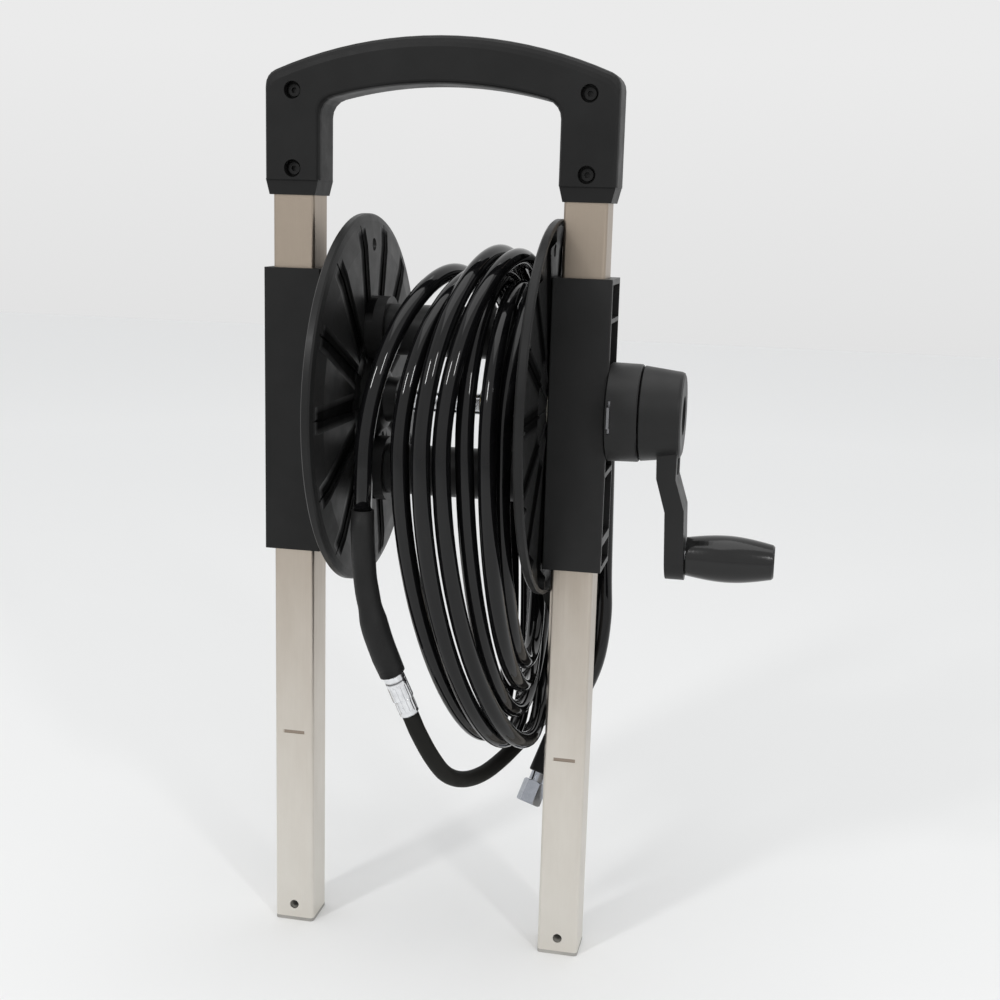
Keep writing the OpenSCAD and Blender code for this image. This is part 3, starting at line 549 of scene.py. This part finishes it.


# The pressed mark in each leg's front face: its middle, how deep its floor lies, and the dark
# painted shade on its floor
LEG_X = 0.12
MARK_Z = (179 - FOOT_HOLE_H) * MM
MARK_FLOOR_Y = -0.0174
MARK_FLOOR_PLAY = 0.001
MARK_HALF_HEIGHT = 0.0022
MARK_HALF_WIDTH = 0.0092
MARK_PAINTED_SHADE = (0.30, 0.25, 0.205)


def mark_mask(m, even):
    """1 on the floor of the pressed marks, and 0 elsewhere."""
    x, y, z = m.split(even)
    level = m.calc("LESS_THAN", m.off(z, MARK_Z), MARK_HALF_HEIGHT)
    sunk = m.calc("GREATER_THAN", y, MARK_FLOOR_Y)
    front = m.calc("LESS_THAN", y, MARK_FLOOR_Y + MARK_FLOOR_PLAY)
    within = m.calc("LESS_THAN", m.off(m.calc("ABSOLUTE", x), LEG_X), MARK_HALF_WIDTH)
    return m.product(level, sunk, front, within)


# Brushed tube: how the streaks and blotches are drawn out lengthways, and how fine they are
STREAK_STRETCH, STREAK_SCALE = (1, 1, 0.012), 1500
STREAK_DOWN, STREAK_UP = 0.08, 0.12
STREAK_STRENGTH, STREAK_DEPTH = 0.25, 0.00005
BLOTCH_STRETCH, BLOTCH_SCALE = (1, 1, 0.35), 22
BLOTCH_SHARE = 0.22
# Painted light on the tube: its tone goes from the low value at the floor to the high value at the
# top height, pale low down as a painted reflection of the floor and darker, warmer up high
PAINTED_LIGHT_LOW, PAINTED_LIGHT_HIGH, PAINTED_LIGHT_TOP = 0.15, 0.85, 0.62


def brushed(name, painted_bright_low_colour, painted_dark_high_colour, roughness):
    """Stainless tube, brushed lengthways: fine streaks, soft blotches, and painted light: paler low
    down as a painted floor reflection, darker and warmer at the top.
    """
    m = Build(name)
    m.set(Metallic=1.0)
    even = m.coordinates()
    streaks = m.noise(m.coordinates(STREAK_STRETCH), STREAK_SCALE, 3, 0.7)
    blotches = m.noise(m.coordinates(BLOTCH_STRETCH), BLOTCH_SCALE, 4)
    # Painted light: paler towards the floor as a painted reflection of it, darker and warmer up to
    # the top
    painted_light_height = m.spread(m.split(even)[2], PAINTED_LIGHT_LOW, PAINTED_LIGHT_HIGH, 0.0, PAINTED_LIGHT_TOP)
    blotches_and_painted_light = m.calc("MULTIPLY_ADD", blotches, BLOTCH_SHARE, painted_light_height)
    tone_with_painted_light = m.colours(blotches_and_painted_light, painted_bright_low_colour, painted_dark_high_colour, 0.3, 0.72)
    # Painted shade: the floor of each pressed mark is painted dark brown
    m.link(m.blend(mark_mask(m, even), tone_with_painted_light, MARK_PAINTED_SHADE), m.shader.inputs["Base Color"])
    sheen = m.spread(streaks, roughness - STREAK_DOWN, roughness + STREAK_UP)
    m.link(sheen, m.shader.inputs["Roughness"])
    m.link(m.bump(streaks, STREAK_STRENGTH, STREAK_DEPTH), m.shader.inputs["Normal"])
    return m.material


# Turned and plated metal: handling marks, scratches and a fine grain
HANDLED_SCALE, HANDLED_DARKER = 180, 0.82
SCRATCH_SCALE = 420
SCRATCH_DOWN, SCRATCH_UP = 0.05, 0.12
METAL_GRAIN_SCALE, METAL_GRAIN_STRENGTH, METAL_GRAIN_DEPTH = 900, 0.12, 0.00004


def worn_tone(m, even, colour):
    """A metal's colour with slightly darker handling marks."""
    darker = tuple(c * HANDLED_DARKER for c in colour)
    return m.colours(m.noise(even, HANDLED_SCALE, 5), darker, colour, 0.25, 0.6)


def worn_sheen(m, even, roughness):
    scratches = m.noise(even, SCRATCH_SCALE, 4)
    return m.spread(scratches, roughness - SCRATCH_DOWN, roughness + SCRATCH_UP)


def metal_grain(m, even, below=None):
    grain = m.noise(even, METAL_GRAIN_SCALE, 3)
    return m.bump(grain, METAL_GRAIN_STRENGTH, METAL_GRAIN_DEPTH, below)


def plated(name, colour, roughness, metallic=1.0):
    """Turned or plated metal with light handling marks."""
    m = Build(name)
    m.set(Metallic=metallic)
    even = m.coordinates()
    m.link(worn_tone(m, even, colour), m.shader.inputs["Base Color"])
    m.link(worn_sheen(m, even, roughness), m.shader.inputs["Roughness"])
    m.link(metal_grain(m, even), m.shader.inputs["Normal"])
    return m.material


# Where the ferrule starts, the way it points, and two ways across it
FERRULE_START = place(-5, -110, 274)
FERRULE_WAY = Vector((13, 6, -34)).normalized()
FERRULE_ACROSS = FERRULE_WAY.cross(Vector((0, 1, 0))).normalized()
FERRULE_SIDE = FERRULE_WAY.cross(FERRULE_ACROSS)
CRIMPS = 12  # flats pressed round the barrel
# Distances along the ferrule
GROOVE_AT = 0.0065
GROOVE_HALF = 0.0012
CRIMPS_FROM = 0.009
CRIMPS_TO = 0.034
CRIMP_SLOPE = 0.002
# How round the pressed flats are between their edges, and how deep they look
CRIMP_ROUNDNESS = 0.4
CRIMP_STRENGTH, CRIMP_DEPTH = 0.8, 0.0009
# Painted shade: the near-black colour of the groove round the ferrule
GROOVE_PAINTED_SHADE = (0.06, 0.06, 0.065)


def crimped(name, colour, roughness):
    """Plated ferrule: a turned neck, a groove painted near black as shade, then a barrel pressed in
    long flats.
    """
    m = Build(name)
    m.set(Metallic=1.0)
    even = m.coordinates()
    run = m.along(even, FERRULE_WAY, FERRULE_START)
    side = m.along(even, FERRULE_SIDE, FERRULE_START)
    across = m.along(even, FERRULE_ACROSS, FERRULE_START)
    half_turn = m.product(m.calc("ARCTAN2", side, across), CRIMPS, 0.5)
    ridge = m.calc("POWER", m.calc("ABSOLUTE", m.calc("SINE", half_turn)), CRIMP_ROUNDNESS)
    pressed = m.ramp(run, CRIMPS_FROM, CRIMP_SLOPE)
    stop = m.fall(run, CRIMPS_TO, CRIMP_SLOPE)
    ridges = m.product(ridge, pressed, stop)
    off_groove = m.calc("DIVIDE", m.off(run, GROOVE_AT), GROOVE_HALF)
    groove = m.calc("SUBTRACT", 1, off_groove, clamp=True)
    # Painted shade in the groove
    tone_with_painted_light = m.blend(groove, worn_tone(m, even, colour), GROOVE_PAINTED_SHADE)
    m.link(tone_with_painted_light, m.shader.inputs["Base Color"])
    m.link(worn_sheen(m, even, roughness), m.shader.inputs["Roughness"])
    shape = m.bump(m.calc("SUBTRACT", ridges, groove), CRIMP_STRENGTH, CRIMP_DEPTH)
    m.link(metal_grain(m, even, shape), m.shader.inputs["Normal"])
    return m.material


# Hose jacket: the tones and the roughness that it varies between, and its drawn grain
JACKET_TONES = ((0.0025, 0.0025, 0.0027), (0.006, 0.006, 0.0065))
JACKET_ROUGHNESS = (0.03, 0.075)
DRAWN_STRETCH, DRAWN_SCALE = (1, 0.02, 1), 900
DRAWN_STRENGTH, DRAWN_DEPTH = 0.06, 0.00004
SMUDGE_STRETCH, SMUDGE_SCALE = (1, 0.4, 1), 40


def jacket(name):
    """Glossy extruded hose jacket: deep black, with a faint drawn grain along its length."""
    m = Build(name)
    m.set(Metallic=0.0, Specular_IOR_Level=0.25, Coat_Weight=0.14, Coat_Roughness=0.03)
    drawn = m.noise(m.coordinates(DRAWN_STRETCH, "UV"), DRAWN_SCALE, 3)
    m.link(m.colours(drawn, *JACKET_TONES), m.shader.inputs["Base Color"])
    smudges = m.noise(m.coordinates(SMUDGE_STRETCH, "UV"), SMUDGE_SCALE, 4)
    m.link(m.spread(smudges, *JACKET_ROUGHNESS), m.shader.inputs["Roughness"])
    m.link(m.bump(drawn, DRAWN_STRENGTH, DRAWN_DEPTH), m.shader.inputs["Normal"])
    return m.material


# Lead hose: its tones and roughness, and the weave print, turned both ways by WEAVE_TURN radians
LEAD_TONES = ((0.006, 0.006, 0.005), (0.012, 0.0115, 0.010))
LEAD_ROUGHNESS = (0.55, 0.75)
LEAD_BLOTCH_STRETCH, LEAD_BLOTCH_SCALE = (1, 0.5, 1), 120
WEAVE_TURN = 0.9
WEAVE_SCALE = 260
WEAVE_DISTORTION = 0.6
WEAVE_STRENGTH, WEAVE_DEPTH = 0.35, 0.00012


def wrapped_rubber(name):
    """Rubber cured in a cloth wrap: a fine crossed weave print and dusty blotches."""
    m = Build(name)
    m.set(Metallic=0.0, Specular_IOR_Level=0.15)
    weave = []
    for turn in (WEAVE_TURN, -WEAVE_TURN):
        wave = m.node("ShaderNodeTexWave")
        wave.inputs["Scale"].default_value = WEAVE_SCALE
        wave.inputs["Distortion"].default_value = WEAVE_DISTORTION
        m.link(m.coordinates(source="UV", turn=turn), wave.inputs["Vector"])
        weave.append(wave.outputs["Fac"])
    blotches = m.noise(m.coordinates(LEAD_BLOTCH_STRETCH, "UV"), LEAD_BLOTCH_SCALE, 5)
    m.link(m.colours(blotches, *LEAD_TONES), m.shader.inputs["Base Color"])
    m.link(m.spread(blotches, *LEAD_ROUGHNESS), m.shader.inputs["Roughness"])
    print_height = m.calc("MAXIMUM", *weave)
    m.link(m.bump(print_height, WEAVE_STRENGTH, WEAVE_DEPTH), m.shader.inputs["Normal"])
    return m.material


# Rubber sleeves: tones and roughness, soft wrinkles drawn lengthways, and a fine grain
SLEEVE_TONES = (grey(0.008), grey(0.014))
SLEEVE_ROUGHNESS = (0.45, 0.62)
WRINKLE_STRETCH, WRINKLE_SCALE = (1, 1, 0.3), 90
WRINKLE_STRENGTH, WRINKLE_DEPTH = 0.3, 0.0004
RUBBER_GRAIN_SCALE, RUBBER_GRAIN_STRENGTH, RUBBER_GRAIN_DEPTH = 700, 0.25, 0.00006


def sleeve_rubber(name):
    """Plain moulded rubber sleeve with soft drawn wrinkles."""
    m = Build(name)
    m.set(Metallic=0.0, Specular_IOR_Level=0.2)
    fine = m.noise(m.coordinates(), RUBBER_GRAIN_SCALE, 3)
    wrinkles = m.noise(m.coordinates(WRINKLE_STRETCH), WRINKLE_SCALE, 4)
    m.link(m.colours(wrinkles, *SLEEVE_TONES), m.shader.inputs["Base Color"])
    m.link(m.spread(fine, *SLEEVE_ROUGHNESS), m.shader.inputs["Roughness"])
    soft = m.bump(wrinkles, WRINKLE_STRENGTH, WRINKLE_DEPTH)
    grained = m.bump(fine, RUBBER_GRAIN_STRENGTH, RUBBER_GRAIN_DEPTH, soft)
    m.link(grained, m.shader.inputs["Normal"])
    return m.material


# What makes each finish, with its colours and its roughness. Then a moulded one has its grain's
# scale and depth and its specular level, a fluted one its specular level, and a plated one how
# metallic it is.
FINISH_MAKERS = {
    # The flange's second colour is painted shade, the near black of its flute floors
    "flange_plastic": (fluted, grey(0.010), grey(0.001), 0.38, 0.18),
    # The stainless tube's two colours are painted light: pale low down as a floor reflection,
    # darker at the top
    "stainless_tube": (brushed, (0.74, 0.71, 0.655), (0.385, 0.325, 0.265), 0.36),
    "bracket_plastic": (moulded, grey(0.009), 0.50, 1300, 0.00006, 0.2),
    "boss_plastic": (moulded, grey(0.009), 0.40, 1300, 0.00006, 0.3),
    "handle_plastic": (moulded, grey(0.008), 0.45, 1100, 0.00006, 0.18),
    "crank_plastic": (moulded, grey(0.010), 0.40, 900, 0.00006, 0.25),
    "grip_plastic": (moulded, grey(0.007), 0.14, 500, 0.00002, 0.4),
    "bearing_plastic": (moulded, (0.60, 0.58, 0.50), 0.45),
    "plug_plastic": (moulded, (0.30, 0.29, 0.27), 0.5, 1300, 0.00006, 0.3),
    "zinc_steel": (plated, (0.62, 0.63, 0.66), 0.32),
    "dark_steel": (plated, grey(0.012), 0.5, 0.6),
    "bright_steel": (plated, (0.80, 0.81, 0.83), 0.16),
    "brass": (plated, (0.72, 0.55, 0.28), 0.28),
    "ferrule_steel": (crimped, (0.80, 0.81, 0.83), 0.16),
    "nut_chrome": (plated, (0.37, 0.39, 0.43), 0.13),
    "clip_steel": (plated, (0.22, 0.22, 0.23), 0.3),
    "seal_rubber": (sleeve_rubber,),
    "hose_jacket": (jacket,),
    "lead_hose_rubber": (wrapped_rubber,),
    "sleeve_rubber": (sleeve_rubber,),
}
FINISHES = {name: make(name, *values) for name, (make, *values) in FINISH_MAKERS.items()}


def dress(thing, material):
    thing.data.materials.clear()
    thing.data.materials.append(material)


SHARP_ANGLE = math.radians(32)


def shade(thing):
    """Smooth shading, with edges sharper than SHARP_ANGLE kept crisp."""
    thing.data.shade_smooth()
    thing.data.set_sharp_from_angle(angle=SHARP_ANGLE)


SLOTS = {part["node"]: part["material_slot"] for part in frame["record"]["subparts"]}

# Nodes that look other than what their slot's name gives
OWN_FINISH = {
    "foot_plugs": "plug_plastic",
    "left_flange": "flange_plastic",
    "right_flange": "flange_plastic",
    "lead_ferrule": "ferrule_steel",
    "swivel_nut": "nut_chrome",
    "end_nipple": "nut_chrome",
    "retaining_clip": "clip_steel",
    "right_bracket": "boss_plastic",
}

for node_name, thing in NODES.items():
    dress(thing, FINISHES[OWN_FINISH.get(node_name, SLOTS[node_name])])
    shade(thing)

dress(main_hose, FINISHES["hose_jacket"])
dress(lead_hose, FINISHES["lead_hose_rubber"])
dress(sleeve, FINISHES["sleeve_rubber"])

# ---- floor, lights and background ----

FLOOR_REACH = 6.0
# The floor grows paler with its distance from the object, over these metres
FLOOR_NEAR, FLOOR_PALER_OVER = 0.6, 2.4
FLOOR_COLOUR = (0.84, 0.84, 0.835)
FLOOR_FAR_COLOUR = (0.97, 0.97, 0.965)
FLOOR_ROUGHNESS = 0.6
FLOOR_SPECULAR = 0.2


def add_floor():
    mesh = bpy.data.meshes.new("floor")
    corners = ((-1, -1), (1, -1), (1, 1), (-1, 1))
    vertices = [(x * FLOOR_REACH, y * FLOOR_REACH, FLOOR_Z) for x, y in corners]
    mesh.from_pydata(vertices, [], [(0, 1, 2, 3)])
    floor = bpy.data.objects.new("floor", mesh)
    bpy.context.collection.objects.link(floor)
    m = Build("floor")
    m.set(Roughness=FLOOR_ROUGHNESS, Specular_IOR_Level=FLOOR_SPECULAR)
    x, y, _ = m.split(m.coordinates())
    far = m.ramp(m.distance(x, y), FLOOR_NEAR, FLOOR_PALER_OVER)
    m.link(m.colours(far, FLOOR_COLOUR, FLOOR_FAR_COLOUR, 0, 1), m.shader.inputs["Base Color"])
    dress(floor, m.material)


OBJECT_MIDDLE = Vector((0, 0, 0.4))
# Place and size of each lamp in metres, and its power in watts
LAMPS = {
    "key": ((-1.0, -1.75, 1.9), (0.21, 0.5), 13),
    "fill": ((1.35, -1.6, 1.7), (0.16, 0.45), 8),
    "overhead": ((0.1, -0.1, 2.4), (1.9, 1.6), 12),
}


def add_area(name, place_m, size, energy):
    """A rectangular lamp, aimed at the object's middle."""
    data = bpy.data.lights.new(name, "AREA")
    data.shape = "RECTANGLE"
    data.size = size[0]
    data.size_y = size[1]
    data.energy = energy
    light = bpy.data.objects.new(name, data)
    bpy.context.collection.objects.link(light)
    light.location = place_m
    aim = OBJECT_MIDDLE - Vector(place_m)
    light.rotation_euler = aim.to_track_quat("-Z", "Y").to_euler()


SOFT_COLOUR = (0.98, 0.99, 1.0, 1)
SOFT_STRENGTH = 0.78
# How pale the wall past the floor is, at two slopes of the view: (upward part, grey)
WALL_LOW = (-0.12, 0.75)
WALL_HIGH = (0.1, 0.83)


def add_world():
    """Soft world light, and a pale wall for what the camera and mirrors see past the floor."""
    world = bpy.data.worlds.new("world")
    bpy.context.scene.world = world
    world.use_nodes = True
    tree = world.node_tree
    tree.nodes.clear()
    soft = tree.nodes.new("ShaderNodeBackground")
    soft.inputs["Color"].default_value = SOFT_COLOUR
    soft.inputs["Strength"].default_value = SOFT_STRENGTH
    white = tree.nodes.new("ShaderNodeBackground")
    white.inputs["Strength"].default_value = 1.0
    direction = tree.nodes.new("ShaderNodeTexCoord")
    split = tree.nodes.new("ShaderNodeSeparateXYZ")
    tree.links.new(direction.outputs["Generated"], split.inputs["Vector"])
    wall = tree.nodes.new("ShaderNodeMapRange")
    wall.inputs["From Min"].default_value = WALL_LOW[0]
    wall.inputs["From Max"].default_value = WALL_HIGH[0]
    wall.inputs["To Min"].default_value = WALL_LOW[1]
    wall.inputs["To Max"].default_value = WALL_HIGH[1]
    tree.links.new(split.outputs["Z"], wall.inputs["Value"])
    tree.links.new(wall.outputs["Result"], white.inputs["Color"])
    rays = tree.nodes.new("ShaderNodeLightPath")
    mix = tree.nodes.new("ShaderNodeMixShader")
    out = tree.nodes.new("ShaderNodeOutputWorld")
    seen = rays.outputs["Is Camera Ray"]
    for ray in ("Is Glossy Ray", "Is Transmission Ray"):
        add = tree.nodes.new("ShaderNodeMath")
        add.operation = "MAXIMUM"
        tree.links.new(seen, add.inputs[0])
        tree.links.new(rays.outputs[ray], add.inputs[1])
        seen = add.outputs[0]
    tree.links.new(seen, mix.inputs["Fac"])
    tree.links.new(soft.outputs[0], mix.inputs[1])
    tree.links.new(white.outputs[0], mix.inputs[2])
    tree.links.new(mix.outputs[0], out.inputs["Surface"])


add_floor()
add_world()
for lamp_name, lamp in LAMPS.items():
    add_area(lamp_name, *lamp)

bpy.context.scene.view_settings.view_transform = "Standard"
